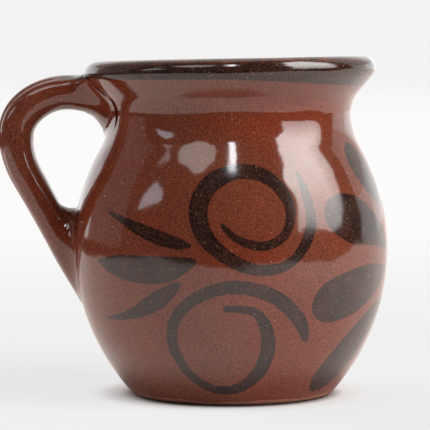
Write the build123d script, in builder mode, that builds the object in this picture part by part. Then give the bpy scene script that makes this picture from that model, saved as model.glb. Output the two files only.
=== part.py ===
"""Jarrito mug: a thrown red-clay pot with a pulled handle, dark slip brushwork and a clear glaze.

Millimetres, +Z up. The foot stands on Z = 0 with the pot's axis on Z, the handle points to -X,
and the painted front faces -Y.
"""

import os
from math import acos, asin, atan2, cos, degrees, hypot, radians, sin, sqrt, tan

from build123d import *

os.makedirs("parts", exist_ok=True)

# Pot
height = 90.0
rim_radius = 40.0
neck_radius = 33.35
neck_drop = 13.4  # from the rim down to the neck's narrowest line
belly_radius = 43.4
belly_height = 39.0
foot_radius = 28.6
shoulder_hollow = 17.0  # radius of the hollow curve between shoulder and neck
flare_hollow = 7.0  # radius of the hollow curve between neck and rim
wall = 4.0
floor_thickness = 6.0
floor_cove = 7.0

# Handle
handle_thickness = 9.6
handle_width = 13.0
finger_room = 20.8  # from the belly's widest line out to the handle's outermost face
rim_step = 2.8  # from the rim down to the handle's top face
knuckle_radius = 12.8  # centre line of the bend at the top
grip_radius = 24.0  # centre line of the gentle bend behind the fingers
tail_drop = 3.6  # from the belly's widest height down to where the tail's centre line lands

# Wet clay worked around the handle's two ends
smear = 0.25  # its least thickness on the handle
upper_web = 8.5  # radius of the hollow under the handle, at the neck
upper_spread = 3.0  # how far it spreads to each side, on the neck
lower_web = 2.3  # radius of the hollow between tail and belly
lower_spread = 2.5  # how far it spreads to each side, on the belly

# Dark slip
slip = 0.15
bare_foot = 2.2  # no slip or glaze this far up from the foot's edge
rim_band = 3.4  # down the outside, from the rim
rim_band_slant = 2.5  # degrees that the band's hand-drawn edge falls to the right
rim_lining = 9.0  # down the inside, from the rim

# Brush strokes: the direction that each one faces, in degrees from the front towards the right,
# and its route as distance to the right, height over the belly's widest line, and width
strokes = {
    "upper_spiral": (0, [
        (-2.4, 10.4, 1.4), (0.3, 7.6, 2.0), (4.6, 5.5, 2.4), (9.6, 5.2, 2.5), (14.0, 7.9, 2.5),
        (15.6, 13.5, 2.7), (13.3, 19.2, 3.1), (8.0, 23.5, 3.7), (0.9, 24.3, 4.1), (-5.4, 21.3, 4.8),
        (-8.6, 15.5, 5.0), (-7.9, 9.2, 4.8), (-4.0, 4.2, 4.1), (2.2, 0.1, 3.5), (9.0, -1.4, 3.0),
        (15.4, 0.5, 2.6), (19.7, 5.7, 2.8), (21.0, 11.8, 2.8), (19.6, 18.3, 2.2), (17.5, 23.5, 1.1)]),
    "lower_spiral": (0, [
        (-1.6, -11.6, 1.8), (2.6, -11.8, 2.0), (6.7, -13.1, 2.7), (9.2, -18.0, 3.7), (9.2, -24.0, 3.9),
        (6.6, -29.8, 3.5), (1.0, -34.1, 2.8), (-5.2, -34.0, 2.3), (-10.8, -30.6, 2.2), (-14.9, -24.4, 2.6),
        (-16.0, -18.6, 2.9), (-14.2, -13.2, 3.1), (-9.6, -8.8, 3.3), (-3.0, -6.2, 3.5), (4.0, -6.1, 3.7),
        (10.6, -8.2, 3.9), (15.6, -12.2, 3.9), (18.3, -16.2, 3.5), (19.4, -20.4, 1.8)]),
    "left_top_leaf": (-33, [
        (-13.4, 13.0, 0.7), (-7.4, 11.1, 1.9), (-1.3, 8.8, 3.3), (4.8, 6.8, 3.9), (9.6, 5.4, 3.3),
        (13.2, 4.7, 1.7)]),
    "left_middle_leaf": (-37, [
        (-17.0, 0.0, 0.7), (-8.9, -0.9, 4.3), (-3.0, -1.8, 6.8), (4.0, -2.1, 7.5), (10.4, -1.6, 6.7),
        (15.4, -0.2, 3.7), (17.7, 0.6, 1.4)]),
    "left_bottom_leaf": (-37, [
        (-13.2, -16.1, 0.7), (-5.4, -15.2, 2.0), (0.0, -13.5, 3.4), (5.6, -10.9, 4.6), (10.0, -8.1, 3.7),
        (13.4, -5.7, 1.5)]),
    "right_top_leaf": (66, [
        (-2.2, 29.4, 2.0), (-1.8, 27.2, 6.0), (-0.6, 24.0, 9.4), (2.2, 20.5, 10.0), (5.6, 17.2, 7.6),
        (9.4, 12.8, 2.4)]),
    "right_upper_leaf": (55, [
        (-13.0, 12.6, 4.0), (-10.6, 12.0, 9.6), (-5.9, 11.1, 13.2), (0.3, 10.2, 12.2), (6.5, 7.9, 9.4),
        (11.4, 4.4, 5.2), (15.6, 1.2, 1.6)]),
    "right_lower_leaf": (50, [
        (-14.6, -10.6, 4.0), (-11.4, -10.0, 11.0), (-4.7, -9.1, 13.6), (2.5, -7.7, 12.2), (9.6, -6.6, 8.4),
        (14.6, -5.6, 4.4), (17.2, -4.8, 1.4)]),
    "right_bottom_leaf": (58, [
        (-8.8, -33.6, 5.6), (-6.8, -30.6, 11.0), (-2.6, -24.0, 12.8), (2.4, -18.6, 11.0), (8.0, -14.5, 8.2),
        (14.0, -12.0, 2.4)]),
}
back_turn = 172  # the same brushwork again behind, turned this far about the axis

# Radii, angles and points that follow from the sizes above, in the pot's section
lip = wall / 2
neck_height = height - neck_drop
lip_centre = (rim_radius - lip, height - lip)
lower_round = ((belly_radius - foot_radius) ** 2 + belly_height**2) / (2 * (belly_radius - foot_radius))
waist, rise = belly_radius - neck_radius, neck_height - belly_height
upper_round = (waist**2 + rise**2) / (2 * waist) - shoulder_hollow
shoulder_angle = degrees(asin(rise / (upper_round + shoulder_hollow)))
flare_centre = (neck_radius + flare_hollow, neck_height)
flare_run, flare_rise = lip_centre[0] - flare_centre[0], lip_centre[1] - flare_centre[1]
flare_lean = atan2(-flare_run, flare_rise)
flare_angle = degrees(asin((flare_hollow + lip) / hypot(flare_run, flare_rise)) - flare_lean)

handle_top = height - rim_step - handle_thickness / 2
handle_left = belly_radius + finger_room - handle_thickness / 2
knuckle_centre = (knuckle_radius - handle_left, handle_top - knuckle_radius)
grip_centre = (grip_radius - handle_left, handle_top - knuckle_radius)
tail_root = (-belly_radius, belly_height - tail_drop)
sight_run, sight_rise = grip_centre[0] - tail_root[0], grip_centre[1] - tail_root[1]
tail_angle = degrees(atan2(sight_rise, sight_run) - acos(grip_radius / hypot(sight_run, sight_rise)))
buried_tail = 2 * handle_thickness  # run on into the pot, to be cut to its surface


def polar(centre, radius, angle):
    """The point at an angle on a circle in the pot's section."""
    return (centre[0] + radius * cos(radians(angle)), centre[1] + radius * sin(radians(angle)))


def pot_outline(grow, start_height):
    """Fills the pot's outside moved out by grow or, with grow below zero, the hollow inside it."""
    belly_centre = (belly_radius - lower_round, belly_height)
    start_angle = -degrees(asin((belly_height - start_height) / (lower_round + grow)))
    mouth = height + lip
    with BuildLine() as outline:
        CenterArc(belly_centre, lower_round + grow, start_angle, -start_angle)
        CenterArc((belly_radius - upper_round, belly_height), upper_round + grow, 0, shoulder_angle)
        shoulder_centre = (neck_radius + shoulder_hollow, neck_height)
        CenterArc(shoulder_centre, shoulder_hollow - grow, 180 + shoulder_angle, -shoulder_angle)
        CenterArc(flare_centre, flare_hollow - grow, 180, -flare_angle)
        flare_start = polar(flare_centre, flare_hollow - grow, 180 - flare_angle)
        Line(flare_start, polar(lip_centre, lip + grow, -flare_angle))
        if grow < 0:
            CenterArc(lip_centre, -lip - grow, 90, 90 - flare_angle)
            crest = polar(lip_centre, -lip - grow, 90)
            Polyline(crest, (crest[0], mouth), (0, mouth), (0, start_height))
        else:
            CenterArc(lip_centre, lip + grow, -flare_angle, 90 + flare_angle)
            crest = polar(lip_centre, lip + grow, 90)
            Polyline(crest, (0, crest[1]), (0, start_height))
        Line((0, start_height), polar(belly_centre, lower_round + grow, start_angle))
    make_face(outline.edges())


def hollow_outline(section, coat):
    """Fills the section of the space inside the pot, less a coat on its wall and floor."""
    pot_outline(-wall - coat, floor_thickness + coat)
    corner = section.vertices().group_by(Axis.Y)[0].sort_by(Axis.X)[-1]
    fillet(corner, floor_cove - coat)


def handle_run():
    """Sweeps the handle's oval along its centre line."""
    neck_inside = (wall - neck_radius, handle_top)
    with BuildLine(Plane.XZ) as centre_line:
        Line(neck_inside, (knuckle_centre[0], handle_top))
        CenterArc(knuckle_centre, knuckle_radius, 90, 90)
        CenterArc(grip_centre, grip_radius, 180, tail_angle)
        tail_end = polar(tail_root, buried_tail, tail_angle - 90)
        Line(polar(grip_centre, grip_radius, 180 + tail_angle), tail_end)
    with BuildSketch(Plane((neck_inside[0], 0, handle_top), x_dir=(0, 1, 0), z_dir=(-1, 0, 0))) as oval:
        Ellipse(handle_width / 2, handle_thickness / 2)
    sweep(oval.sketch, path=centre_line.wire())


def worked_clay(sections, direction):
    """Lofts ovals around the handle's centre line, each swollen to its inner side and its sides."""
    ovals = []
    inner_side = direction + 90
    for point, swell, spread in sections:
        half = handle_thickness / 2 + smear + swell / 2
        centre = polar(point, swell / 2, inner_side)
        along = polar((0, 0), 1, direction)
        plane = Plane((centre[0], 0, centre[1]), x_dir=(0, 1, 0), z_dir=(along[0], 0, along[1]))
        with BuildSketch(plane) as oval:
            Ellipse(handle_width / 2 + smear + spread, half)
        ovals.append(oval.sketch)
    loft(ovals, ruled=True)


def upper_clay():
    """The clay at the neck: a round web under the handle that runs out along it."""
    sections = []
    for step in (0, 0.35, 0.6, 0.8, 0.92, 1):
        share = 1 - sqrt(1 - step**2)
        point = (-neck_radius - upper_web * (1 - step), handle_top)
        sections.append((point, upper_web * share, upper_spread * share))
    sections.append(((wall - neck_radius, handle_top), upper_web, upper_spread))
    worked_clay(sections, 180)


def lower_clay():
    """The clay at the belly: it fills the corner between tail and belly up to a round hollow."""
    corner = handle_thickness / 2 / tan(radians(tail_angle))
    reach = corner + lower_web / tan(radians(tail_angle / 2))
    sections = []
    for step in (0, 0.4, 0.7, 0.9, 1):
        share = 1 - sqrt(1 - step**2)
        point = polar(tail_root, reach - lower_web * step, tail_angle + 90)
        sections.append((point, lower_web * share, lower_spread * share))
    for along in (reach - 1.5 * lower_web, -buried_tail):
        point = polar(tail_root, along, tail_angle + 90)
        sections.append((point, 2 * lower_web, lower_spread))
    worked_clay(sections, tail_angle - 90)


def stroke_outline(route):
    """Fills one brush stroke: a closed smooth line along both sides of its route."""
    left, right = [], []
    for i, (across, up, width) in enumerate(route):
        before, after = route[max(i - 1, 0)], route[min(i + 1, len(route) - 1)]
        run, climb = after[0] - before[0], after[1] - before[1]
        half = width / 2 / hypot(run, climb)
        left.append((across - climb * half, up + run * half))
        right.append((across + climb * half, up - run * half))
    with BuildLine() as edge:
        Spline(*left, *reversed(right), periodic=True)
    make_face(edge.edges())


def write(part, name):
    """Labels a finished piece and writes its file."""
    part.label = name
    export_step(part, f"parts/{name}.step")


# Solids that the pieces are cut with: the pot filled up, and the space inside it
with BuildPart() as filled_pot:
    with BuildSketch(Plane.XZ):
        pot_outline(0, 0)
    revolve(axis=Axis.Z)

with BuildPart() as hollow:
    with BuildSketch(Plane.XZ) as hollow_section:
        hollow_outline(hollow_section, 0)
    revolve(axis=Axis.Z)

# Pot, thrown in one piece: floor, belly, neck and rolled rim
with BuildPart() as body:
    add(filled_pot.part)
    add(hollow.part, mode=Mode.SUBTRACT)
write(body.part, "body")

# Handle, pulled as one strap and cut to the pot at both ends
with BuildPart() as handle:
    handle_run()
    add(filled_pot.part, mode=Mode.SUBTRACT)
write(handle.part, "handle")

# Clay worked around the handle's ends to hold it on the pot
with BuildPart() as upper_joint:
    upper_clay()
    add([filled_pot.part, handle.part], mode=Mode.SUBTRACT)
write(upper_joint.part, "upper_handle_joint")

with BuildPart() as lower_joint:
    lower_clay()
    add([filled_pot.part, handle.part], mode=Mode.SUBTRACT)
write(lower_joint.part, "lower_handle_joint")

# Dark slip over the rim, with a hand-drawn lower edge outside
with BuildPart() as outer_slip:
    with BuildSketch(Plane.XZ):
        pot_outline(slip, bare_foot)
    revolve(axis=Axis.Z)
    add(filled_pot.part, mode=Mode.SUBTRACT)

with BuildPart() as lined_space:
    with BuildSketch(Plane.XZ) as lined_section:
        hollow_outline(lined_section, slip)
    revolve(axis=Axis.Z)

with BuildPart() as rim_slip:
    add(outer_slip.part)
    tilt = radians(rim_band_slant)
    split(bisect_by=Plane((0, 0, height - rim_band), z_dir=(sin(tilt), 0, cos(tilt))), keep=Keep.TOP)
    add([hollow.part, upper_joint.part, handle.part], mode=Mode.SUBTRACT)
write(rim_slip.part, "rim_slip")

with BuildPart() as rim_lining_slip:
    add(hollow.part)
    add(lined_space.part, mode=Mode.SUBTRACT)
    split(bisect_by=Plane.XY.offset(height - rim_lining), keep=Keep.TOP)
write(rim_lining_slip.part, "rim_lining")

# Brush strokes on the front, each cut from the slip coat, and again behind
for name, (facing, route) in strokes.items():
    across, out = polar((0, 0), 1, facing), polar((0, 0), 1, facing - 90)
    canvas = Plane((0, 0, belly_height), x_dir=(*across, 0), z_dir=(*out, 0))
    with BuildPart() as front_stroke:
        with BuildSketch(canvas):
            stroke_outline(route)
        extrude(amount=2 * belly_radius)
        add(outer_slip.part, mode=Mode.INTERSECT)
    with BuildPart() as stroke:
        add(front_stroke.part)
        add(front_stroke.part, rotation=(0, 0, back_turn))
    write(stroke.part, name)
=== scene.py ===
"""Looks of a jarrito: a thrown red-clay mug with a pulled handle, dark slip brushwork and a clear glaze.

Metres, +Z up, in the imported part's own frame. The foot stands on Z = 0 with the pot's axis on Z, the
handle points to -X and the painted front faces -Y.
"""

import math

import bmesh
import bpy
import numpy as np
from bpy.props import FloatProperty, FloatVectorProperty, IntProperty, PointerProperty
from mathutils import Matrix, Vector, noise


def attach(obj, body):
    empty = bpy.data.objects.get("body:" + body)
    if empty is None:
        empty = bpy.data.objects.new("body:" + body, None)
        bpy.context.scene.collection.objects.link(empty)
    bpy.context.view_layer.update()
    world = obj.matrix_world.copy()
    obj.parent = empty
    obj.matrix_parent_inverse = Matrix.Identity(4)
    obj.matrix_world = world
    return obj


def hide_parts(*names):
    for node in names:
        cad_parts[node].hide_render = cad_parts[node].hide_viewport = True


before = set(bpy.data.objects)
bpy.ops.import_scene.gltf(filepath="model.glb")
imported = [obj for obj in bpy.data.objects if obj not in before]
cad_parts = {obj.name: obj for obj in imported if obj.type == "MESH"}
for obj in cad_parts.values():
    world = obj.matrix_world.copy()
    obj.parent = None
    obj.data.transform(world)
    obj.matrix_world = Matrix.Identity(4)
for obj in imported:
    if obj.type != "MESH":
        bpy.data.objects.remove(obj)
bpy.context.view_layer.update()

bl_info = {
    "name": "Jarrito mug",
    "version": (1, 0, 0),
    "blender": (4, 5, 0),
    "location": "View3D > Sidebar > Jarrito",
    "description": "A thrown clay mug with a pulled handle, slip brushwork, glaze and a small studio",
    "category": "Object",
}

MM = 0.001
CHUNK = 2000  # points that are measured against a line at a time
SLIP_REACH = 4.0  # millimetres from a painted edge that the slip attribute counts
BRUSHWORK = [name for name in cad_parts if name.endswith(("_spiral", "_leaf"))]


def length(name, description, default):
    """A size in metres for the panel."""
    return FloatProperty(name=name, description=description, default=default, unit="LENGTH",
                         subtype="DISTANCE", precision=5)


def colour(name, description, default):
    """A colour for the panel, in linear light."""
    return FloatVectorProperty(name=name, description=description, default=default, size=3,
                               subtype="COLOR", min=0, max=1)


class PotSizes(bpy.types.PropertyGroup):
    """Sizes of the thrown pot."""

    height: length("Height", "Foot to rim", 91.35 * MM)
    belly_radius: length("Belly radius", "Widest radius", 42.73 * MM)
    belly_height: length("Belly height", "Height of the widest line", 40.1 * MM)
    rim_radius: length("Rim radius", "Outside of the lip", 39.56 * MM)
    neck_radius: length("Neck radius", "Narrowest outside radius", 33.0 * MM)
    neck_height: length("Neck height", "Height of the narrowest line", 76.55 * MM)
    foot_radius: length("Foot radius", "Where the belly's curve would meet the table", 26.9 * MM)
    foot_round: length("Foot round", "Radius of the worn edge of the foot", 1.7 * MM)
    shoulder_hollow: length("Shoulder hollow", "Radius of the hollow under the neck", 17.4 * MM)
    flare_hollow: length("Flare hollow", "Radius of the hollow over the neck", 7.5 * MM)
    lip_round: length("Lip round", "Radius of the rolled lip", 3.2 * MM)
    wall: length("Wall", "Thickness of the wall", 4.0 * MM)
    floor: length("Floor", "Thickness of the floor", 6.0 * MM)
    floor_cove: length("Floor cove", "Radius of the hollow between wall and floor", 7.0 * MM)
    columns: IntProperty(name="Columns", description="Faces around the pot", default=384, min=32)
    rim_tilt: FloatProperty(name="Rim tilt", description="Rise of the rim away from the handle",
                            default=math.radians(1.13), subtype="ANGLE")
    lean: length("Lean", "Sideways lean of the rim towards the handle", 0.65 * MM)
    wobble: length("Wobble", "Unevenness that the potter's hands left", 0.1 * MM)
    ring_depth: length("Ring depth", "Depth of the throwing rings inside", 0.12 * MM)
    ring_pitch: length("Ring pitch", "Distance between throwing rings", 5.5 * MM)


class HandleSizes(bpy.types.PropertyGroup):
    """Sizes of the pulled handle."""

    top: length("Top", "Height of the top run's centre line", 83.2 * MM)
    left: length("Left", "Distance of the grip's centre line from the axis", 58.3 * MM)
    knuckle_rise: length("Knuckle rise", "Height of the bend at the top, at its centre line", 12.0 * MM)
    knuckle_reach: length("Knuckle reach", "Length of the bend at the top, at its centre line", 16.0 * MM)
    grip_radius: length("Grip radius", "Centre line of the bend behind the fingers", 24.5 * MM)
    tail_drop: length("Tail drop", "Belly line down to where the tail lands", 4.0 * MM)
    squareness: FloatProperty(name="Squareness", description="2 is an oval, higher is boxier", default=2.25)
    crease: length("Crease", "Depth of the crease that the thumb left along the top", 0.35 * MM)
    upper_web: length("Upper web", "Radius of the worked clay under the handle", 19.0 * MM)
    lower_web: length("Lower web", "Radius of the worked clay between tail and belly", 3.0 * MM)
    side_web: length("Side web", "Radius of the worked clay at the sides of the top", 7.0 * MM)
    tail_web: length("Tail web", "Radius of the worked clay at the sides of the tail", 6.5 * MM)
    outer_web: length("Outer web", "Radius of the worked clay on the handle's outer face", 1.0 * MM)
    fibres: IntProperty(name="Fibres", description="Faces around the handle", default=96, min=16)


class FinishSettings(bpy.types.PropertyGroup):
    """Colours of clay and slip."""

    clay: colour("Clay", "Fired red clay under the glaze", (0.142, 0.0365, 0.0186))
    bare: colour("Bare clay", "Unglazed clay of the foot", (0.260, 0.085, 0.045))
    slip: colour("Slip", "Dark brushed slip", (0.024, 0.0105, 0.0078))
    speck: colour("Specks", "Pale grit under the glaze", (0.42, 0.24, 0.16))
    rim_band: length("Rim band", "Slip down the outside of the rim, at the front", 5.6 * MM)
    rim_lining: length("Rim lining", "Slip down the inside of the rim", 9.0 * MM)
    bare_foot: length("Bare foot", "Clay left bare above the table", 1.5 * MM)


class StageSettings(bpy.types.PropertyGroup):
    """Camera, floor and lights."""

    camera: FloatVectorProperty(name="Camera", description="Place of the camera", size=3,
                                subtype="TRANSLATION", unit="LENGTH",
                                default=(-4.61 * MM, -654.96 * MM, 91.33 * MM))
    pitch: FloatProperty(name="Pitch", description="Angle that the camera looks down", default=0.065,
                         subtype="ANGLE")
    lens: FloatProperty(name="Lens", description="Focal length in millimetres", default=201.25)
    floor: colour("Floor", "Pale table", (0.94, 0.94, 0.93))
    ambient: FloatProperty(name="Ambient", description="Even light from the white room", default=0.22)
    sun: FloatProperty(name="Sun", description="Soft light from the right", default=3.7)
    fill: FloatProperty(name="Fill", description="Soft light from behind on the left", default=2.4)


# Small helpers for node trees

class Value:
    """An output in a node tree that can be reckoned with like a number."""

    def __init__(self, socket):
        self.socket, self.tree = socket, socket.id_data

    def calc(self, operation, *others, clamp=False):
        """Adds a maths node that starts with this value."""
        terms = dict(enumerate((self, *others)))
        return result(self.tree, "ShaderNodeMath", terms, operation=operation, use_clamp=clamp)

    def __add__(self, other):
        return self.calc("ADD", other)

    def __sub__(self, other):
        return self.calc("SUBTRACT", other)

    def __mul__(self, other):
        return self.calc("MULTIPLY", other)

    def __truediv__(self, other):
        return self.calc("DIVIDE", other)


def feed(made, values):
    """Gives a node its inputs, by name or place: outputs of other nodes are linked, plain values are set."""
    for key, value in values.items():
        if isinstance(value, Value):
            value.tree.links.new(value.socket, made.inputs[key])
        else:
            made.inputs[key].default_value = value


def add(tree, kind, values=None, **settings):
    """Adds a node with its settings and inputs."""
    made = tree.nodes.new(kind)
    for key, value in settings.items():
        setattr(made, key, value)
    feed(made, values or {})
    return made


def result(tree, kind, values=None, key=0, **settings):
    """Adds a node and returns one of its outputs."""
    return Value(add(tree, kind, values, **settings).outputs[key])


def results(tree, kind, values=None, **settings):
    """Adds a node and returns its outputs by name."""
    return {socket.name: Value(socket) for socket in add(tree, kind, values, **settings).outputs}


def vector(first, operation, second):
    """Works on places or colours; SCALE takes a number."""
    other = "Scale" if operation == "SCALE" else 1
    return result(first.tree, "ShaderNodeVectorMath", {0: first, other: second}, operation=operation)


def axes(place):
    """The X, Y and Z of a place."""
    return results(place.tree, "ShaderNodeSeparateXYZ", {0: place})


def ramp(value, low, high, first=0.0, last=1.0, shape="SMOOTHSTEP"):
    """Runs from first, where the value is low, to last, where it is high."""
    return result(value.tree, "ShaderNodeMapRange", {
        "Value": value, "From Min": low, "From Max": high, "To Min": first, "To Max": last},
        interpolation_type=shape)


def grain(place, scale, detail=2.0, roughness=0.5):
    """Noise about zero, from -0.5 to 0.5, with that many grains to the metre."""
    return result(place.tree, "ShaderNodeTexNoise", {
        "Vector": place, "Scale": scale, "Detail": detail, "Roughness": roughness}) - 0.5


def between(share, first, second):
    """Mixes two numbers."""
    return result(share.tree, "ShaderNodeMix", {0: share, 2: first, 3: second})


def blend(share, first, second):
    """Mixes two colours."""
    return result(share.tree, "ShaderNodeMix", {0: share, 6: first, 7: second}, 2, data_type="RGBA")


def new_material(name):
    """A material with nodes, and its tree."""
    material = bpy.data.materials.new(name)
    material.use_nodes = True
    return material, material.node_tree


def put(name, mesh, material, replaced):
    """Makes a finished piece of a mesh and ties it to the frame."""
    piece = bpy.data.objects.new(name, mesh)
    bpy.context.scene.collection.objects.link(piece)
    mesh.materials.clear()
    mesh.materials.append(material)
    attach(piece, "root")
    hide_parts(*replaced)
    return piece


def stand(name, vertices, faces, material):
    """Makes a piece of the studio, which isn't part of the mug."""
    mesh = bpy.data.meshes.new(name)
    mesh.from_pydata([tuple(v) for v in vertices], [], faces)
    mesh.materials.append(material)
    card = bpy.data.objects.new(name, mesh)
    bpy.context.scene.collection.objects.link(card)
    return card


# The pot's section

def arc(centre, radius, start, sweep, spacing):
    """Points along an arc in the section."""
    count = max(3, round(abs(math.radians(sweep)) * radius / spacing) + 1)
    angles = np.radians(np.linspace(start, start + sweep, count))
    return np.column_stack([centre[0] + radius * np.cos(angles), centre[1] + radius * np.sin(angles)])


def run(start, end, spacing):
    """Points along a straight line in the section."""
    count = max(2, round(math.dist(start, end) / spacing) + 1)
    return np.linspace(start, end, count)


def tangent_round(centre, radius, level, small):
    """Centre and end angle of a small round that joins a level line to the inside of an arc."""
    rise = level + small - centre[1]
    across = math.sqrt((radius - small) ** 2 - rise**2)
    return (centre[0] + across, level + small), math.degrees(math.atan2(rise, across))


FLAT, FLARE, ROLL, ROUND = 3.5 * MM, 0.6 * MM, 0.5 * MM, 0.3 * MM  # distance between points of the section


def pot_section(pot, fine=0.75 * MM, coarse=1.7 * MM):
    """The section from the middle of the base, up the outside, over the lip and down to the middle of the
    floor, as radius and height, with the rows where the foot's edge begins and where the lip is highest."""
    lip = pot.lip_round
    lip_centre = (pot.rim_radius - lip, pot.height - lip)
    spread = pot.belly_radius - pot.foot_radius
    lower = (spread**2 + pot.belly_height**2) / (2 * spread)
    waist, rise = pot.belly_radius - pot.neck_radius, pot.neck_height - pot.belly_height
    upper = (waist**2 + rise**2) / (2 * waist) - pot.shoulder_hollow
    shoulder = math.degrees(math.asin(rise / (upper + pot.shoulder_hollow)))
    flare_centre = (pot.neck_radius + pot.flare_hollow, pot.neck_height)
    flare_run, flare_rise = lip_centre[0] - flare_centre[0], lip_centre[1] - flare_centre[1]
    flare = math.degrees(math.asin((pot.flare_hollow + lip) / math.hypot(flare_run, flare_rise))
                         - math.atan2(-flare_run, flare_rise))
    thicker = pot.flare_hollow + pot.wall - lip
    roll_end = 360 - math.degrees(math.acos(-thicker / math.hypot(flare_run, flare_rise))
                                  + math.atan2(flare_rise, -flare_run))
    belly = (pot.belly_radius - lower, pot.belly_height)
    top = (pot.belly_radius - upper, pot.belly_height)
    hollow = (pot.neck_radius + pot.shoulder_hollow, pot.neck_height)
    foot, foot_angle = tangent_round(belly, lower, 0, pot.foot_round)
    cove, cove_angle = tangent_round(belly, lower - pot.wall, pot.floor, pot.floor_cove)
    outer = [
        run((0, 0), (foot[0], 0), FLAT),
        arc(foot, pot.foot_round, -90, 90 + foot_angle, ROUND),
        arc(belly, lower, foot_angle, -foot_angle, fine),
        arc(top, upper, 0, shoulder, fine),
        arc(hollow, pot.shoulder_hollow, 180 + shoulder, -shoulder, fine),
        arc(flare_centre, pot.flare_hollow, 180, -flare, FLARE),
        arc(lip_centre, lip, -flare, 90 + flare, ROUND)]
    inner = [
        arc(lip_centre, lip, 90, roll_end - 90, ROLL),
        arc(flare_centre, pot.flare_hollow + pot.wall, roll_end, 180 - roll_end, coarse),
        arc(hollow, pot.shoulder_hollow + pot.wall, 180, shoulder, coarse),
        arc(top, upper - pot.wall, shoulder, -shoulder, coarse),
        arc(belly, lower - pot.wall, 0, cove_angle, coarse),
        arc(cove, pot.floor_cove, cove_angle, -90 - cove_angle, coarse),
        run((cove[0], pot.floor), (0, pot.floor), FLAT)]

    # On both sides a straight run joins the lip to the flare
    outer.insert(-1, run(outer[-2][-1], outer[-1][0], FLARE))
    inner.insert(1, run(inner[0][-1], inner[1][0], coarse))
    base, *others = outer + inner
    section = np.vstack([base, *(part[1:] for part in others)])
    return section, len(base), sum(len(part) - 1 for part in outer)


def pot_outside(pot):
    """The outside of the section, finely divided for measuring, and its normals."""
    section, foot_row, lip_row = pot_section(pot, fine=0.12 * MM)
    along = np.gradient(section, axis=0)
    normal = np.column_stack([along[:, 1], -along[:, 0]])
    normal /= np.linalg.norm(normal, axis=1, keepdims=True)
    return section[foot_row:lip_row], normal[foot_row:lip_row]


def hand_made(points, pot):
    """Moves points of the true pot to where the tilted, leaning hand-made one has them."""
    moved = points.copy()
    rise = np.clip((points[:, 2] - pot.belly_height) / (pot.height - pot.belly_height), 0, 1)
    reach = np.clip(points[:, 0], -pot.rim_radius, pot.rim_radius)
    moved[:, 2] += math.tan(pot.rim_tilt) * reach * rise
    moved[:, 0] -= pot.lean * points[:, 2] / pot.height
    return moved


# Materials

# Pale grit: cells to the metre, share of cells without a grain, a grain's size in cells and its strength
GRIT = ((300, 0.86, 0.055, 0.85), (520, 0.76, 0.085, 0.6), (1000, 0.55, 0.16, 0.36))


def clay_finish():
    """The node group for glazed, slip-painted clay: colour, roughness and fine relief."""
    tree = bpy.data.node_groups.new("Painted glazed clay", "ShaderNodeTree")
    for name, way, kind in (("Slip edge", "INPUT", "Float"), ("Clay", "INPUT", "Color"),
                            ("Bare clay", "INPUT", "Color"), ("Slip", "INPUT", "Color"),
                            ("Specks", "INPUT", "Color"), ("Bare foot", "INPUT", "Float"),
                            ("Color", "OUTPUT", "Color"), ("Roughness", "OUTPUT", "Float"),
                            ("Relief", "OUTPUT", "Float")):
        tree.interface.new_socket(name=name, in_out=way, socket_type="NodeSocket" + kind)
    given = results(tree, "NodeGroupInput")
    edge = given["Slip edge"]
    place = results(tree, "ShaderNodeTexCoord")["Object"]
    height = axes(place)["Z"]

    # Clay: sandy grain and slow firing clouds, some of them redder
    sand = grain(place, 2100, 4, 0.75)
    clay = vector(given["Clay"], "SCALE", sand * 3.4 + (grain(place, 55, 3) * 0.35 + 1.0))
    redder = vector(clay, "MULTIPLY", (1.07, 0.76, 0.62))
    clay = blend(ramp(grain(place, 42, 2), -0.12, 0.2), clay, redder)

    # Slip: a ragged edge, and a cover with streaks and gaps where the brush ran dry
    ragged = sand * 0.35 + grain(place, 420, 3, 0.6) * 0.55
    streak = (edge * 6.5 + grain(place, 75, 2) * 22.0).calc("SINE")
    broken = streak * grain(place, 130, 1) * 0.25
    cover = broken.calc("ADD", grain(place, 160, 3) * 0.45 + 0.93, clamp=True)
    slip_mask = ramp(edge + ragged, -0.16, 0.16) * cover

    # Slip: paler in patches in the middle of a stroke, where it is thin
    slip = vector(given["Slip"], "SCALE", sand * 6.0 + 0.85)
    dry = vector(slip, "MULTIPLY", (1.4, 1.65, 1.65))
    patches = ramp(streak * 0.07 + grain(place, 130, 3), -0.1, 0.14)
    slip = blend(ramp(edge, 0.3, 1.5) * patches, slip, dry)
    painted = blend(slip_mask, clay, slip)

    # Grit: a few cells of a cell pattern hold a pale grain each
    for scale, empty, size, strength in GRIT:
        cells = results(tree, "ShaderNodeTexVoronoi", {"Vector": place, "Scale": scale})
        chosen = results(tree, "ShaderNodeSeparateColor", {0: cells["Color"]})
        held = chosen["Red"].calc("GREATER_THAN", empty)
        reach = chosen["Green"] * size + 0.35 * size
        dot = ramp(reach - cells["Distance"], -0.02, 0.03) * held * strength
        painted = blend(dot, painted, given["Specks"])

    # Foot: bare, dusty clay below an uneven line, with painted shade along its lowest edge, where it curves
    # under onto the table
    line = grain(place, 600, 2) * (0.5 * MM) + (grain(place, 45, 2) * (2.6 * MM) + given["Bare foot"])
    bare_mask = ramp(height - line, 0.18 * MM, -0.18 * MM)
    dusty_and_shaded = (grain(place, 900, 4, 0.7) * 0.7 + 1.0) * ramp(height, 0.3 * MM, 1.3 * MM, 0.15, 1.0)
    bare = vector(given["Bare clay"], "SCALE", dusty_and_shaded)

    # Glaze: nearly even gloss with a faint ripple, and dull, sandy clay where there is none
    gloss = slip_mask * 0.04 + (grain(place, 140, 3) * 0.05 + 0.09)
    ripple = grain(place, 100, 1) * 0.19 + grain(place, 240, 2) * 0.026
    ripple = grain(place, 1300, 2) * 0.0016 + ripple
    feed(tree.nodes.new("NodeGroupOutput"), {
        "Color": blend(bare_mask, painted, bare), "Roughness": between(bare_mask, gloss, 0.78),
        "Relief": ripple + sand * 0.06 * bare_mask})
    return tree


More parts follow.
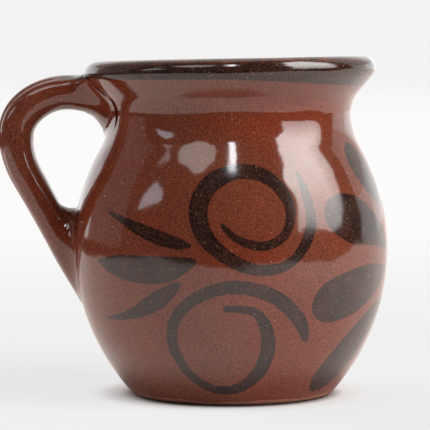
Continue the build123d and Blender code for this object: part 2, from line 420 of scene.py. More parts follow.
def shared_finish():
    """The shared clay group, built once."""
    return bpy.data.node_groups.get("Painted glazed clay") or clay_finish()


def clay_material(name, finish, foot):
    """A material of the shared clay finish, for a piece with a slip attribute, bare up to a height."""
    material, tree = new_material(name)
    clay = results(tree, "ShaderNodeGroup", {
        "Slip edge": results(tree, "ShaderNodeAttribute", attribute_name="slip")["Fac"],
        "Clay": (*finish.clay, 1), "Bare clay": (*finish.bare, 1), "Slip": (*finish.slip, 1),
        "Specks": (*finish.speck, 1), "Bare foot": foot}, node_tree=shared_finish())
    bump = result(tree, "ShaderNodeBump", {"Height": clay["Relief"], "Distance": MM, "Strength": 1.0})
    feed(tree.nodes["Principled BSDF"], {
        "Base Color": clay["Color"], "Roughness": clay["Roughness"], "Normal": bump, "IOR": 1.62})
    return material


def glow(name, tint, strength, fades=False):
    """A plain light-giving material for the studio, which may fade downwards and towards the back."""
    material, tree = new_material(name)
    tree.nodes.clear()
    if fades:
        at = axes(results(tree, "ShaderNodeTexCoord")["Object"])
        low = ramp(at["Z"], 0.25, 0.95, 0.4, 1.0, "LINEAR")
        strength = low * ramp(at["Y"], -0.15, 0.22, 1.0, 0.4, "LINEAR") * strength
    lamp = result(tree, "ShaderNodeEmission", {"Color": (*tint, 1), "Strength": strength})
    feed(tree.nodes.new("ShaderNodeOutputMaterial"), {0: lamp})
    return material


# The thrown wall as Geometry Nodes

def keep(geometry, name, value, kind):
    """Stores a value on the points of a geometry."""
    return result(geometry.tree, "GeometryNodeStoreNamedAttribute",
               {"Geometry": geometry, "Name": name, "Value": value}, data_type=kind)


def thrown_wall_tree():
    """Turns a section about Z into a wall, with the unevenness of a hand-thrown pot."""
    tree = bpy.data.node_groups.new("Thrown wall", "GeometryNodeTree")
    tree.interface.new_socket(name="Geometry", in_out="OUTPUT", socket_type="NodeSocketGeometry")
    for kind, names in (("Object", ("Section",)), ("Int", ("Columns", "Rows")),
                        ("Float", ("Belly height", "Height", "Rim tilt", "Lean", "Wobble", "Ring depth",
                                   "Ring pitch", "Seed")), ("Material", ("Material",))):
        for name in names:
            tree.interface.new_socket(name=name, in_out="INPUT", socket_type="NodeSocket" + kind)
    given = results(tree, "NodeGroupInput")
    place = result(tree, "GeometryNodeInputPosition")

    # A flat grid, one column per step round the axis and one row per point of the section
    grid = result(tree, "GeometryNodeMeshGrid", {
        "Size X": 1.0, "Size Y": 1.0, "Vertices X": given["Columns"] + 1.0, "Vertices Y": given["Rows"]})
    flat = axes(place)
    turn = (flat["X"] + 0.5) * (2 * math.pi)
    row = ((flat["Y"] + 0.5) * (given["Rows"] - 1.0)).calc("ROUND")
    drawn = result(tree, "GeometryNodeObjectInfo", {"Object": given["Section"]}, "Geometry")
    point = axes(result(tree, "GeometryNodeSampleIndex", {"Geometry": drawn, "Value": place, "Index": row},
                     data_type="FLOAT_VECTOR"))
    thrown = result(tree, "ShaderNodeCombineXYZ", {
        0: point["X"] * turn.calc("COSINE"), 1: point["X"] * turn.calc("SINE"), 2: point["Z"]})
    wall = keep(grid, "inside", point["Y"], "FLOAT")
    wall = result(tree, "GeometryNodeSetPosition", {"Geometry": wall, "Position": thrown})
    wall = result(tree, "GeometryNodeMergeByDistance", {"Geometry": wall, "Distance": 2e-6})
    wall = keep(wall, "true_place", place, "FLOAT_VECTOR")

    # Unevenness: slow swells all over and rings inside, neither on the foot
    at = axes(place)
    swell = result(tree, "ShaderNodeTexNoise", {"Vector": place, "W": given["Seed"], "Scale": 42.0,
                                             "Detail": 1.0}, noise_dimensions="4D")
    swell = (swell - 0.5) * (given["Wobble"] * 2.0)
    climb = at["Z"] * (2 * math.pi) / given["Ring pitch"]
    wave = (at["Y"].calc("ARCTAN2", at["X"]) + climb).calc("SINE")
    inside = result(tree, "GeometryNodeInputNamedAttribute", {"Name": "inside"}, data_type="FLOAT")
    push = (swell + wave * given["Ring depth"] * inside) * ramp(at["Z"], 0.5 * MM, 8.0 * MM)
    push = vector(result(tree, "GeometryNodeInputNormal"), "SCALE", push)

    # The rim's tilt, which grows from the belly upwards, and the lean
    tall = given["Height"] - given["Belly height"]
    rise = (at["Z"] - given["Belly height"]).calc("DIVIDE", tall, clamp=True)
    lift = given["Rim tilt"].calc("TANGENT") * at["X"] * rise
    slide = given["Lean"] * (at["Z"] / (given["Height"] * -1.0))
    shift = vector(push, "ADD", result(tree, "ShaderNodeCombineXYZ", {0: slide, 2: lift}))
    for kind, values in (("SetPosition", {"Offset": shift}), ("SetShadeSmooth", {}), ("RealizeInstances", {}),
                         ("SetMaterial", {"Material": given["Material"]})):
        wall = result(tree, "GeometryNode" + kind, {"Geometry": wall, **values})
    feed(tree.nodes.new("NodeGroupOutput"), {0: wall})
    return tree


def run_tree(tree, values):
    """Runs a Geometry Nodes tree on an empty mesh and returns the plain mesh that it makes."""
    host = bpy.data.objects.new("host", bpy.data.meshes.new("host"))
    bpy.context.scene.collection.objects.link(host)
    modifier = host.modifiers.new("tree", "NODES")
    modifier.node_group = tree
    for item in tree.interface.items_tree:
        if item.in_out == "INPUT" and item.name in values:
            modifier[item.identifier] = values[item.name]
    bpy.context.view_layer.update()
    made = host.evaluated_get(bpy.context.evaluated_depsgraph_get())
    mesh = bpy.data.meshes.new_from_object(made)
    bpy.data.objects.remove(host)
    return mesh


def read(mesh, name, width):
    """An attribute of a mesh's points as an array."""
    values = np.zeros(len(mesh.vertices) * width, np.float32)
    mesh.attributes[name].data.foreach_get("value" if width == 1 else "vector", values)
    return values.astype(float).reshape(-1, width)


def store(mesh, name, values):
    """Writes one number for each point of a mesh."""
    layer = mesh.attributes.new(name, "FLOAT", "POINT")
    layer.data.foreach_set("value", values.astype(np.float32))


def turn_outward(mesh):
    """Turns a closed mesh's faces outwards."""
    shell = bmesh.new()
    shell.from_mesh(mesh)
    bmesh.ops.recalc_face_normals(shell, faces=shell.faces)
    shell.to_mesh(mesh)
    shell.free()


# Slip: how far each point lies inside the brushwork, in millimetres. A stroke faces so many degrees round
# from the front and runs through points given as across, up and width.

BRUSH_ROUTES = {
    "upper_spiral": (0, [
        (-2.4, 10.4, 1.4), (0.3, 7.6, 2.0), (4.6, 5.5, 2.4), (9.6, 5.2, 2.5), (14.0, 7.9, 2.5),
        (15.6, 13.5, 2.7), (13.3, 19.2, 3.1), (8.0, 23.5, 3.7), (0.9, 24.3, 4.1), (-5.4, 21.3, 4.8),
        (-8.6, 15.5, 5.0), (-7.9, 9.2, 4.8), (-4.0, 4.2, 4.1), (2.2, 0.1, 3.5), (9.0, -1.4, 3.0),
        (15.4, 0.5, 2.6), (19.7, 5.7, 2.8), (21.0, 11.8, 2.8), (19.6, 18.3, 2.2), (17.5, 23.5, 1.1)]),
    "lower_spiral": (0, [
        (-1.6, -11.6, 1.8), (2.6, -11.8, 2.0), (6.7, -13.1, 2.7), (9.2, -18.0, 3.7), (9.2, -24.0, 3.9),
        (6.6, -29.8, 3.5), (1.0, -34.1, 2.8), (-5.2, -34.0, 2.3), (-10.8, -30.6, 2.2), (-14.9, -24.4, 2.6),
        (-16.0, -18.6, 2.9), (-14.2, -13.2, 3.1), (-9.6, -8.8, 3.3), (-3.0, -6.2, 3.5), (4.0, -6.1, 3.7),
        (10.6, -8.2, 3.9), (15.6, -12.2, 3.9), (18.3, -16.2, 3.5), (19.4, -20.4, 1.8)]),
    "left_top_leaf": (-33, [
        (-13.4, 13.0, 0.7), (-7.4, 11.1, 1.9), (-1.3, 8.8, 3.3), (4.8, 6.8, 3.9), (9.6, 5.4, 3.3),
        (13.2, 4.7, 1.7)]),
    "left_middle_leaf": (-37, [
        (-13.6, -0.6, 0.8), (-8.6, -1.3, 4.3), (-3.0, -1.8, 6.8), (4.0, -2.1, 7.5), (10.4, -1.6, 6.7),
        (15.4, -0.2, 3.7), (17.7, 0.6, 1.4)]),
    "left_bottom_leaf": (-37, [
        (-13.2, -16.1, 0.7), (-5.4, -15.2, 2.0), (0.0, -13.5, 3.4), (5.6, -10.9, 4.6), (10.0, -8.1, 3.7),
        (13.4, -5.7, 1.5)]),
    "right_top_leaf": (66, [
        (-2.2, 28.2, 4.4), (-2.0, 25.4, 9.4), (0.2, 22.6, 10.6), (3.2, 19.8, 9.8), (6.2, 16.8, 7.2),
        (9.4, 12.8, 2.4)]),
    "right_upper_leaf": (57.5, [
        (-12.6, 12.4, 6.6), (-10.4, 11.7, 10.8), (-5.9, 10.5, 13.2), (0.3, 8.8, 10.8), (6.5, 6.4, 7.6),
        (11.4, 4.2, 5.2), (15.6, 1.6, 1.6)]),
    "right_lower_leaf": (54.8, [
        (-14.0, -11.4, 6.6), (-11.4, -10.8, 11.8), (-4.7, -9.2, 12.8), (2.5, -7.2, 10.6), (9.6, -5.6, 6.8),
        (14.6, -4.8, 3.4), (17.2, -4.2, 1.2)]),
    "right_bottom_leaf": (62, [
        (-8.2, -33.0, 7.4), (-6.4, -30.4, 11.6), (-2.4, -24.6, 12.2), (2.6, -19.6, 10.0), (8.0, -15.8, 6.8),
        (13.6, -13.4, 2.2)]),
}
BACK_TURN = 172  # degrees that the same brushwork is turned round to the back
BRUSH_SCALE = 0.977  # the photographed strokes against the routes
BRUSH_LINE = 38.5  # millimetres from the table to the routes' zero line at the front
BRUSH_RISE = 0.6  # how many more at the sides
BRUSH_MARGIN = 9  # how many round a stroke are measured


def smooth_route(route, pieces=14):
    """Points of a smooth line through a stroke's route, with its half widths, in millimetres."""
    points = np.array([route[0], *route, route[-1]], float)
    share = np.linspace(0, 1, pieces, endpoint=False)[:, None]
    spans = []
    for a, b, c, d in zip(points, points[1:], points[2:], points[3:]):
        spans.append(0.5 * (2 * b + (c - a) * share + (2 * a - 5 * b + 4 * c - d) * share**2
                            + (3 * b - a - 3 * c + d) * share**3))
    line = np.vstack([*spans, points[-1:]]) * BRUSH_SCALE
    return line[:, :2], np.maximum(line[:, 2], 0.3) / 2


def brushwork_edges(points):
    """How far points of the true pot lie inside the brush strokes, in millimetres."""
    depth = np.full(len(points), -SLIP_REACH)
    for facing, route in BRUSH_ROUTES.values():
        line, half = smooth_route(route)
        low, high = line.min(0) - BRUSH_MARGIN, line.max(0) + BRUSH_MARGIN
        for turn in (facing, facing + BACK_TURN):
            sin, cos = math.sin(math.radians(turn)), math.cos(math.radians(turn))
            across = (points[:, 0] * cos + points[:, 1] * sin) / MM
            out = points[:, 0] * sin - points[:, 1] * cos
            up = points[:, 2] / MM - BRUSH_LINE - BRUSH_RISE * abs(math.sin(math.radians(facing)))
            flat = np.column_stack([across, up])
            near = np.flatnonzero((out > 0) & (flat > low).all(1) & (flat < high).all(1))
            for start in range(0, len(near), CHUNK):
                some = near[start:start + CHUNK]
                gap = np.linalg.norm(flat[some, None] - line[None], axis=2)
                depth[some] = np.maximum(depth[some], (half[None] - gap).max(1))
    return depth


BRUSHED_FROM = 2 * MM  # height above the table where brushwork may begin
RIM_FROM = 2 * MM  # height above the neck where the rim's slip may begin
RIM_FALL = (1.0 * MM, 2.2 * MM)  # how far the band's edge rises to the left and falls to the right
CREST, CREST_SLIP = 1.3 * MM, 0.03  # top of the lip, where the slip is thin, and what is left of it there


class JARRITO_OT_throw_pot(bpy.types.Operator):
    """Throws the pot and lays the dark slip on it"""

    bl_idname = "jarrito.throw_pot"
    bl_label = "Throw pot"

    def execute(self, context):
        pot, finish = context.scene.jarrito_pot, context.scene.jarrito_finish
        section, _, lip_row = pot_section(pot)
        drawn = bpy.data.meshes.new("section")
        inner = (np.arange(len(section)) > lip_row).astype(float)
        drawn.from_pydata([(r, side, z) for (r, z), side in zip(section, inner)], [], [])
        guide = bpy.data.objects.new("section", drawn)
        context.scene.collection.objects.link(guide)
        material = clay_material("Slip-painted glazed clay", finish, finish.bare_foot)
        mesh = run_tree(thrown_wall_tree(), {
            "Section": guide, "Columns": pot.columns, "Rows": len(section), "Belly height": pot.belly_height,
            "Height": pot.height, "Rim tilt": pot.rim_tilt, "Lean": pot.lean, "Wobble": pot.wobble,
            "Ring depth": pot.ring_depth, "Ring pitch": pot.ring_pitch, "Seed": 3.0, "Material": material})
        bpy.data.objects.remove(guide)
        if len(mesh.vertices) < pot.columns * len(section) // 2:
            raise RuntimeError("the thrown wall came out with too few points")
        turn_outward(mesh)

        place = read(mesh, "true_place", 3)
        inside = read(mesh, "inside", 1)[:, 0] > 0.5
        height = place[:, 2]
        slip = np.full(len(place), -SLIP_REACH)
        brushed = np.flatnonzero(~inside & (height > BRUSHED_FROM) & (height < pot.neck_height))
        slip[brushed] = brushwork_edges(place[brushed])
        slip = np.maximum(slip, self.rim(place, inside, pot, finish))
        store(mesh, "slip", np.clip(slip, -SLIP_REACH, SLIP_REACH))
        for name in ("true_place", "inside"):
            mesh.attributes.remove(mesh.attributes[name])
        put("pot", mesh, material, ["body", "rim_slip", "rim_lining", *BRUSHWORK])
        return {"FINISHED"}

    def rim(self, place, inside, pot, finish):
        """How far points lie inside the rim's slip: a slanting band outside and a lining inside."""
        height, above = place[:, 2], place[:, 2] > pot.neck_height + RIM_FROM
        turn = np.arctan2(place[:, 0], -place[:, 1])
        right = np.sin(turn)
        fall = np.where(right > 0, RIM_FALL[1], RIM_FALL[0]) * right
        edge = pot.height - finish.rim_band - fall + 0.2 * MM * np.sin(3 * turn + 1)
        band = np.where(above, (height - edge) / MM, -SLIP_REACH)
        edge = pot.height - finish.rim_lining + 0.8 * MM * np.sin(2 * turn) + 0.4 * MM * np.sin(5 * turn)
        slip = np.where(inside, (height - edge) / MM, band)
        crest = CREST_SLIP + np.maximum(pot.height - CREST - height, 0) / MM
        return np.where(above, np.minimum(slip, crest), slip)


# The handle

NECK_RUN, TAIL_RUN = 6 * MM, 14 * MM  # how far the centre line runs into the pot at neck and tail
STOPS = (0.0, 0.18, 0.28, 0.38, 0.46, 0.56, 0.70, 0.84, 1.0)  # shares of the run from the neck to the tail
THICK = (8.6, 8.9, 10.3, 10.0, 9.3, 8.8, 8.5, 8.7, 7.4)  # thickness of the strap there, in millimetres
WIDE = (14.5, 13.4, 13.0, 13.0, 13.0, 13.0, 13.0, 13.6, 15.0)  # and its width
EVEN_OVER = 25  # points along the line over which thickness and width are evened out
CREASE_AT, CREASE_SPREAD = 0.62, 0.13  # where round the strap the crease lies, and its width, in radians
CREASE_FADE = ((0, 0.1, 0.5, 0.62), (1, 1, 0.6, 0))  # how deep it is along the run
CORNERS = (math.radians(25), math.radians(150))  # angles between strap and pot that the webs can fill
STRAND_STEPS = 221  # points along each strand
ROOT = 0.12 * MM  # how deep a strand's end sits in the pot
SMOOTH_ROUNDS, SMOOTH_REACH = 36, 9 * MM  # smoothing of the worked clay, and how far from the pot it goes
LIFT_REACH = 6 * MM  # distance from the pot within which smoothing may not sink the clay
SKIRT = 1.2 * MM  # how deep the skirts at both ends go into the pot
SMEAR_HEIGHT, SMEAR_SPREAD, SMEAR_REACH = 46 * MM, 6 * MM, 3 * MM  # the finger smears at the lower joint
RUN_ON, RUN_TOP = 6 * MM, 4.9 * MM  # how far the slip ran onto the handle from the rim, and below its height


def handle_line(handle, pot):
    """Centre line of the handle in X and Z, its directions, and shares of its run."""
    bend = np.array((handle.knuckle_reach, handle.knuckle_rise))
    knuckle = np.array((-handle.left, handle.top)) + bend * (1, -1)
    grip = (handle.grip_radius - handle.left, knuckle[1])
    root = (-pot.belly_radius, pot.belly_height - handle.tail_drop)
    across, up = grip[0] - root[0], grip[1] - root[1]
    tail = math.degrees(math.atan2(up, across) - math.acos(handle.grip_radius / math.hypot(across, up)))
    spacing = 0.4 * MM
    last = arc(grip, handle.grip_radius, 180, tail, spacing)
    way = math.radians(tail - 90)
    end = (root[0] + TAIL_RUN * math.cos(way), root[1] + TAIL_RUN * math.sin(way))
    line = np.vstack([
        run((-pot.neck_radius + NECK_RUN, handle.top), (knuckle[0], handle.top), spacing),
        knuckle + bend * arc((0, 0), 1, 90, 90, spacing / handle.knuckle_rise)[1:],
        last[1:],
        run(last[-1], end, spacing)[1:]])
    along = np.gradient(line, axis=0)
    along /= np.linalg.norm(along, axis=1, keepdims=True)
    far = np.concatenate([[0], np.cumsum(np.linalg.norm(np.diff(line, axis=0), axis=1))])
    return line, along, far / far[-1]


def pot_gap(points, outside, normals):
    """Distance of points from the true pot's outside, with the pot's normals there."""
    reach = np.hypot(points[:, 0], points[:, 1])
    flat = np.column_stack([reach, points[:, 2]])
    nearest = np.empty(len(points), int)
    for start in range(0, len(points), CHUNK):
        part = flat[start:start + CHUNK]
        nearest[start:start + CHUNK] = ((part[:, None] - outside[None]) ** 2).sum(2).argmin(1)
    normal = normals[nearest]
    gap = ((flat - outside[nearest]) * normal).sum(1)
    spoke = points[:, :2] / reach[:, None]
    return gap, np.column_stack([spoke * normal[:, :1], normal[:, 1]])


def along_run(share, values):
    """A size in millimetres at each stop, evened out along the handle's run."""
    sizes = np.interp(share, STOPS, np.array(values) * MM)
    padded = np.pad(sizes, EVEN_OVER // 2, mode="edge")
    return np.convolve(padded, np.ones(EVEN_OVER) / EVEN_OVER, mode="valid")


def of_points(mesh, name):
    """The places or normals of a mesh's points as an array."""
    values = np.zeros(len(mesh.vertices) * 3, np.float32)
    mesh.vertices.foreach_get(name, values)
    return values.reshape(-1, 3).astype(float)


class JARRITO_OT_pull_handle(bpy.types.Operator):
    """Pulls the handle and works its two ends onto the pot"""

    bl_idname = "jarrito.pull_handle"
    bl_label = "Pull handle"

    def execute(self, context):
        pot, handle = context.scene.jarrito_pot, context.scene.jarrito_handle
        outside, normals = pot_outside(pot)
        line, along, share = handle_line(handle, pot)
        thick, wide = along_run(share, THICK), along_run(share, WIDE)
        out = np.column_stack([along[:, 1], -along[:, 0]])
        power = 2 / handle.squareness
        strands = []
        for angle in np.linspace(0, 2 * math.pi, handle.fibres, endpoint=False):
            up, side = math.cos(angle), math.sin(angle)
            lift = math.copysign(abs(up) ** power, up)
            over = math.copysign(abs(side) ** power, side)
            crease = handle.crease * math.exp(-((angle - CREASE_AT) / CREASE_SPREAD) ** 2)
            half = thick / 2 * lift - crease * np.interp(share, *CREASE_FADE)
            flat = line + out * half[:, None]
            strand = np.column_stack([flat[:, 0], -wide / 2 * over, flat[:, 1]])
            strands.append(self.fit(strand, line, outside, normals, up, handle))
        mesh = self.skin(self.smooth_joints(np.array(strands), outside, normals))
        self.weather(mesh, pot, outside, normals)
        material = clay_material("Glazed handle clay", context.scene.jarrito_finish, -1.0)
        put("handle", mesh, material, ["handle", "upper_handle_joint", "lower_handle_joint"])
        return {"FINISHED"}

    def fit(self, strand, line, outside, normals, up, handle):
        """Cuts one strand to the pot at both ends and flares it into the worked clay."""
        gap, normal = pot_gap(strand, outside, normals)
        middle = len(strand) // 2
        free = np.flatnonzero(gap > 0)
        before = np.flatnonzero(gap[:middle] <= 0)
        after = np.flatnonzero(gap[middle:] <= 0)
        first = before[-1] if len(before) else free[0]
        last = middle + after[0] if len(after) else free[-1]
        moved = strand.copy()
        core = np.column_stack([line[:, 0], np.zeros(len(line)), line[:, 1]])
        inner, outer = max(-up, 0) ** 1.3, max(up, 0) ** 2
        for hit, way, inner_web, side_web in ((first, 1, handle.upper_web, handle.side_web),
                                              (last, -1, handle.lower_web, handle.tail_web)):
            # The web is a round of its own radius in the corner between the strand and the pot
            web = inner_web * inner + handle.outer_web * outer + side_web * (1 - inner - outer)
            heading = strand[hit + way * 3] - strand[hit]
            heading /= np.linalg.norm(heading)
            skin = normal[hit]
            aside = strand[hit] - core[hit]
            aside -= skin * (aside @ skin)
            aside /= np.linalg.norm(aside)
            corner = min(max(math.atan2(heading @ skin, heading @ aside), CORNERS[0]), CORNERS[1])
            near = np.arange(first, middle) if way > 0 else np.arange(middle, last + 1)
            near = near[gap[near] < web * (1 + math.cos(corner))]
            low = np.clip(gap[near], 0, None)
            curve = np.sqrt(np.maximum(web**2 - (low - web) ** 2, 0))
            spread = web / math.tan(corner / 2) - curve - low / math.tan(corner)
            side = strand[near] - core[near]
            side -= normal[near] * (side * normal[near]).sum(1)[:, None]
            side /= np.maximum(np.linalg.norm(side, axis=1), 1e-9)[:, None]
            moved[near] += side * np.maximum(spread, 0)[:, None]

            # Spreading over the round pot changes the distance from it, which is set right again
            for _ in range(2):
                drift, skin_there = pot_gap(moved[near], outside, normals)
                moved[near] += skin_there * (low - drift)[:, None]
            moved[hit] -= pot_gap(moved[hit:hit + 1], outside, normals)[1][0] * ROOT

        # Points lie closer together towards both ends
        kept = moved[first:last + 1]
        steps = np.concatenate([[0], np.cumsum(np.linalg.norm(np.diff(kept, axis=0), axis=1))])
        even = np.cos(math.pi * np.linspace(0, 1, STRAND_STEPS))
        even = 0.5 - 0.5 * even * (0.55 + 0.45 * np.abs(even) ** 0.5)
        even = (even - even[0]) / (even[-1] - even[0])
        return np.column_stack([np.interp(even * steps[-1], steps, kept[:, k]) for k in range(3)])

    def smooth_joints(self, rows, outside, normals):
        """Evens out the worked clay near the pot and sinks a short skirt into the pot at both ends."""
        gap = pot_gap(rows.reshape(-1, 3), outside, normals)[0].reshape(rows.shape[:2])
        share = np.clip(1 - gap / SMOOTH_REACH, 0, 1)[..., None] * 0.5
        for _ in range(SMOOTH_ROUNDS):
            mean = (np.roll(rows, 1, 0) + np.roll(rows, -1, 0)) / 2
            mean[:, 1:-1] = (mean[:, 1:-1] + (rows[:, 2:] + rows[:, :-2]) / 2) / 2
            rows = rows + share * (mean - rows)

        # The smoothing may not sink the clay towards the pot
        over, out = pot_gap(rows.reshape(-1, 3), outside, normals)
        lift = np.where(gap < LIFT_REACH, np.maximum(gap - over.reshape(gap.shape), 0), 0)
        rows = rows + out.reshape(rows.shape) * lift[..., None]
        skirts = []
        for end in (0, -1):
            over, out = pot_gap(rows[:, end], outside, normals)
            rows[:, end] -= out * (over + 0.1 * MM)[:, None]
            skirts.append((rows[:, end] - out * SKIRT)[:, None])
        return np.concatenate([skirts[0], rows, skirts[1]], axis=1)

    def skin(self, rows):
        """Joins the strands into a tube that is closed at both ends inside the pot's wall."""
        count, steps = rows.shape[:2]
        caps = np.array([rows[:, 0].mean(0), rows[:, -1].mean(0)]) + (MM, 0, 0)
        centre = count * steps
        faces = []
        for i in range(count):
            here, beside = i * steps, (i + 1) % count * steps
            faces += [(here + k, beside + k, beside + k + 1, here + k + 1) for k in range(steps - 1)]
            faces.append((beside, here, centre))
            faces.append((here + steps - 1, beside + steps - 1, centre + 1))
        mesh = bpy.data.meshes.new("handle")
        mesh.from_pydata([tuple(p) for p in np.vstack([rows.reshape(-1, 3), caps])], [], faces)
        turn_outward(mesh)
        mesh.shade_smooth()
        return mesh

    def weather(self, mesh, pot, outside, normals):
        """Adds the hand's unevenness, the smears at the lower joint and the slip that ran onto the top."""
        place = of_points(mesh, "co")
        gap, out = pot_gap(place, outside, normals)
        loose = np.clip(gap / (2.5 * MM), 0, 1)
        smear = np.exp(-((place[:, 2] - SMEAR_HEIGHT) / SMEAR_SPREAD) ** 2 - (gap / SMEAR_REACH) ** 2)
        slow = np.array([noise.noise(Vector(point)) for point in place * 70])
        quick = np.array([noise.noise(Vector(point)) for point in place * (260, 420, 130)])
        push = 0.16 * MM * slow * loose + 0.22 * MM * quick * smear
        place += of_points(mesh, "normal") * push[:, None]
        ran = (place[:, 0] + pot.rim_radius + RUN_ON) / MM * 0.35
        top = (place[:, 2] - (pot.height - RUN_TOP)) / MM
        store(mesh, "slip", np.clip(np.minimum(ran, top), -SLIP_REACH, SLIP_REACH))
        mesh.vertices.foreach_set("co", hand_made(place, pot).astype(np.float32).ravel())
        mesh.update()

        # The worked clay runs into the pot without an edge, so its shading takes the pot's normals there
        near = np.clip(1 - gap / (0.8 * MM), 0, 1)
        near = (near * near * (3 - 2 * near))[:, None]
        blended = of_points(mesh, "normal") * (1 - near) + out * near
        mesh.normals_split_custom_set_from_vertices(blended / np.linalg.norm(blended, axis=1, keepdims=True))


# The studio

DARK = (0.020, 0.017, 0.016)
DARK_TURNS = (-86, 111)  # degrees from the front, over which the room is dark
DOMES = {  # lowest edge and both ends in degrees, tint and strength of what the glaze mirrors of the room
    "right_ceiling": (14, DARK_TURNS[1], 150, (0.85, 0.78, 0.74), 1.0),
    "left_ceiling": (20, 210, 232, (0.50, 0.44, 0.40), 1.0),
    "left_haze": (0, 232, DARK_TURNS[0] + 360, (0.26, 0.24, 0.23), 1.0),
    "back_ceiling": (34, 150, 210, (1.0, 0.96, 0.93), 1.15),
    "dark_room": (0, *DARK_TURNS, DARK, 1.0),
}
DOME_RADIUS, DOME_TOP = 2.6, 88  # metres, and degrees up
DOME_COLUMNS, DOME_ROWS = 49, 23
TABLE_EDGE = ((-0.30, 0.42), (-0.41, 0.11), (-0.45, -0.05), (-0.45, -0.28), (-0.20, -0.36), (-0.05, -0.268),
              (0.03, -0.274), (0.10, -0.296), (0.25, -0.33), (0.41, -0.28), (0.37, -0.09), (0.70, 0.05),
              (2.3, 0.45))  # where the pale table ends in reflections
TABLE_HALF = 12.0
WARM_WHITE = (1, 0.97, 0.95)
SHAPE_DISTANCE, SHAPE_BASE = 1.6, 60 * MM  # how far the lit shapes are, and the height they are aimed from
LIT_SHAPES = {  # strength, tint, whether it fades, and corners as degrees round from the front and up
    "softbox": (9.0, WARM_WHITE, True, ((49, 8), (63, 8), (77, 6.5), (88, 8), (93, 14), (97, 30), (97, 60),
                                        (60, 60), (54, 46), (47, 36), (52, 22))),
    "small_lamp": (17.0, (0.92, 0.95, 1), False, ((-2, 43), (4, 43), (5.5, 54), (5, 60), (-3, 60), (-3, 54))),
    "left_window": (2.7, WARM_WHITE, False, ((-33, 39), (-25, 42), (-18, 49), (-17, 58), (-46, 60), (-61, 50),
                                             (-54, 44), (-45, 43))),
    "left_slit": (1.5, WARM_WHITE, False, ((-73, 38), (-63, 42), (-71, 48))),
    "left_pane": (3.0, (0.85, 0.9, 1), False, ((-57, 29), (-56, 23), (-65, 19), (-75, 15), (-72, 24),
                                               (-65, 31))),
    "right_wall": (1.7, (1, 1, 1), False, ((134, -1), (172, -1), (172, 10), (134, 10))),
    "left_wall": (1.5, (1, 1, 1), False, ((-172, -1), (-128, -1), (-128, 14), (-172, 14))),
}
SUN_WAYS = {"sun": (-0.80, 0.36, -0.50), "fill": (0.81, -0.47, -0.34)}  # which way the soft lights shine
SUN_SPREAD = math.radians(50)


def seen_rays(tree):
    """1 for what the camera sees straight, mirrored or through glass, 0 for light that falls on things."""
    path = results(tree, "ShaderNodeLightPath")
    seen = path["Is Camera Ray"] + path["Is Glossy Ray"]
    return seen.calc("ADD", path["Is Transmission Ray"], clamp=True)


def around(turn, lift, distance, base):
    """The place that lies so many degrees round from the front and up, seen from a height on the axis."""
    t, e = math.radians(turn), math.radians(lift)
    flat = distance * math.cos(e)
    return flat * math.sin(t), -flat * math.cos(t), distance * math.sin(e) + base


def mirror_only(name, vertices, faces, material):
    """Makes a piece of the studio that only reflections show."""
    card = stand(name, vertices, faces, material)
    card.visible_camera = False
    card.visible_diffuse = False
    card.visible_shadow = False


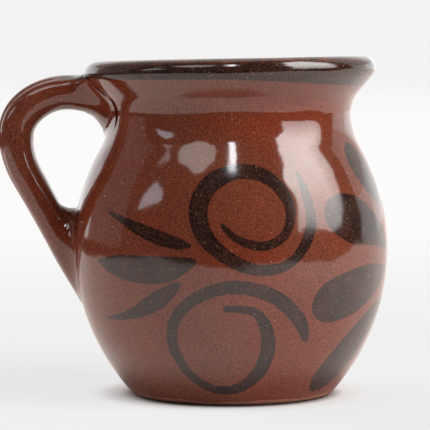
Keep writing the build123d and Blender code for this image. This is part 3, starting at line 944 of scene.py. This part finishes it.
class JARRITO_OT_set_stage(bpy.types.Operator):
    """Sets the pale table, the room that the glaze mirrors, the lights and the camera"""

    bl_idname = "jarrito.set_stage"
    bl_label = "Set stage"

    def execute(self, context):
        stage = context.scene.jarrito_stage
        self.table(stage)
        self.room(context, stage)
        self.lamps(context, stage)
        camera = bpy.data.cameras.new("camera")
        camera.lens = stage.lens
        camera.sensor_width = 36
        camera.clip_end = 100
        holder = bpy.data.objects.new("camera", camera)
        holder.location = stage.camera
        holder.rotation_euler = (math.pi / 2 - stage.pitch, 0, 0)
        context.scene.collection.objects.link(holder)
        context.scene.camera = holder
        context.scene.view_settings.view_transform = "Standard"
        return {"FINISHED"}

    def table(self, stage):
        """A wide pale table, nearly white to the eye, which keeps its shade near the foot and has a painted
        shadow round it.
        """
        material, tree = new_material("Pale table")
        place = results(tree, "ShaderNodeTexCoord")["Object"]
        away = result(tree, "ShaderNodeVectorMath", {0: place}, "Value", operation="LENGTH")
        path = results(tree, "ShaderNodeLightPath")
        mirrored = path["Is Glossy Ray"]

        # How much of the table shows as plain white: none at the foot, and less of it in reflections
        shaded = mirrored * ramp(away, 28 * MM, 47 * MM, 1.0, 0.0)
        white = ramp(away, 27.2 * MM, 40 * MM, 0.0, 0.86) + ramp(away, 0.1, 1.2, 0.0, 0.08)
        white = white * (seen_rays(tree) - shaded)

        # The table's colour, with a painted shadow round the foot: dark right under it when seen straight,
        # and further out in reflections
        painted_shadow = shaded + path["Is Camera Ray"] * ramp(away, 26.2 * MM, 31.5 * MM, 1.0, 0.0)
        shader = tree.nodes["Principled BSDF"]
        feed(shader, {"Base Color": blend(painted_shadow, (*stage.floor, 1), (0.30, 0.26, 0.24, 1)),
                      "Roughness": 0.9, "Specular IOR Level": 0.1})

        # The white: a little greyer near the mug and far away; when mirrored, warmer, and brighter to the
        # right as painted light from the sun's side
        seen = ramp(away, 0.08, 0.7, 0.85, 0.965) - ramp(away, 1.5, 9.0, 0.0, 0.075)
        lit = ramp(axes(place)["X"], -0.04, 0.22, 0.98, 1.38)
        paper = result(tree, "ShaderNodeEmission", {
            "Color": blend(mirrored, (1, 1, 0.995, 1), (1, 0.90, 0.845, 1)),
            "Strength": between(mirrored, seen, lit)})
        mixed = result(tree, "ShaderNodeMixShader", {0: white, 1: Value(shader.outputs[0]), 2: paper})
        feed(tree.nodes["Material Output"], {0: mixed})
        corners = [(x * TABLE_HALF, y * TABLE_HALF, 0) for x, y in ((-1, -1), (1, -1), (1, 1), (-1, 1))]
        stand("table", corners, [(0, 1, 2, 3)], material)

    def room(self, context, stage):
        """Even white light all round, and what the glaze mirrors: a dark front, a haze and pale ceilings."""
        world = bpy.data.worlds.new("White room")
        context.scene.world = world
        world.use_nodes = True
        tree = world.node_tree
        strength = between(seen_rays(tree), stage.ambient, 0.89)
        mirrored = results(tree, "ShaderNodeLightPath")["Is Glossy Ray"]
        feed(tree.nodes["Background"], {"Color": (1, 1, 1, 1), "Strength": mirrored * 0.36 + strength})

        panes = [(c, c + 1, c + DOME_COLUMNS + 1, c + DOME_COLUMNS)
                 for r in range(DOME_ROWS - 1) for c in range(r * DOME_COLUMNS, (r + 1) * DOME_COLUMNS - 1)]
        for name, (low, start, end, tint, strength) in DOMES.items():
            places = [around(turn, lift, DOME_RADIUS, MM) for lift in np.linspace(low, DOME_TOP, DOME_ROWS)
                      for turn in np.linspace(start, end, DOME_COLUMNS)]
            mirror_only(name, places, panes, glow(name, tint, strength))

        # Beyond the table's edge the floor is dark too
        count, lifted = len(TABLE_EDGE), 0.6 * MM
        edge = [(x, y, lifted) for x, y in TABLE_EDGE]
        rim = [(x * DOME_RADIUS / math.hypot(x, y), y * DOME_RADIUS / math.hypot(x, y), lifted)
               for x, y in TABLE_EDGE]
        strips = [(i, i + 1, count + i + 1, count + i) for i in range(count - 1)]
        mirror_only("dark_floor", edge + rim, strips, glow("dark_floor", DARK, 1.0))

    def lamps(self, context, stage):
        """Two soft lights, and the lit shapes that the glaze mirrors."""
        for name, way in SUN_WAYS.items():
            sun = bpy.data.lights.new(name, "SUN")
            sun.energy = getattr(stage, name)
            sun.angle = SUN_SPREAD
            holder = bpy.data.objects.new(name, sun)
            holder.rotation_euler = Vector(way).to_track_quat("-Z", "Y").to_euler()
            holder.visible_glossy = False
            context.scene.collection.objects.link(holder)
        for name, (strength, tint, fades, corners) in LIT_SHAPES.items():
            middle = np.mean(corners, axis=0)
            places = [around(*corner, SHAPE_DISTANCE, SHAPE_BASE) for corner in (middle, *corners)]
            faces = [(0, i + 1, (i + 1) % len(corners) + 1) for i in range(len(corners))]
            mirror_only(name, places, faces, glow(name, tint, strength, fades))


class JARRITO_PT_panel(bpy.types.Panel):
    """Lists the mug's settings and steps"""

    bl_idname = "JARRITO_PT_panel"
    bl_label = "Jarrito mug"
    bl_space_type = "VIEW_3D"
    bl_region_type = "UI"
    bl_category = "Jarrito"

    def draw(self, context):
        for group in ("jarrito_pot", "jarrito_handle", "jarrito_finish", "jarrito_stage"):
            settings = getattr(context.scene, group)
            box = self.layout.box()
            for name in settings.bl_rna.properties.keys():
                if name not in ("rna_type", "name"):
                    box.prop(settings, name)
        for step_name in STEPS:
            self.layout.operator(step_name)


STEPS = ("jarrito.throw_pot", "jarrito.pull_handle", "jarrito.set_stage")
GROUPS = {"jarrito_pot": PotSizes, "jarrito_handle": HandleSizes, "jarrito_finish": FinishSettings,
          "jarrito_stage": StageSettings}
CLASSES = (*GROUPS.values(), JARRITO_OT_throw_pot, JARRITO_OT_pull_handle, JARRITO_OT_set_stage,
           JARRITO_PT_panel)


def register():
    """Adds the classes and the scene's settings."""
    for kind in CLASSES:
        bpy.utils.register_class(kind)
    for name, kind in GROUPS.items():
        setattr(bpy.types.Scene, name, PointerProperty(type=kind))


def unregister():
    """Removes the settings and the classes."""
    for name in GROUPS:
        delattr(bpy.types.Scene, name)
    for kind in reversed(CLASSES):
        bpy.utils.unregister_class(kind)


def main():
    """Builds the mug and its studio."""
    register()
    bpy.ops.jarrito.throw_pot()
    bpy.ops.jarrito.pull_handle()
    bpy.ops.jarrito.set_stage()


if __name__ == "__main__":
    main()
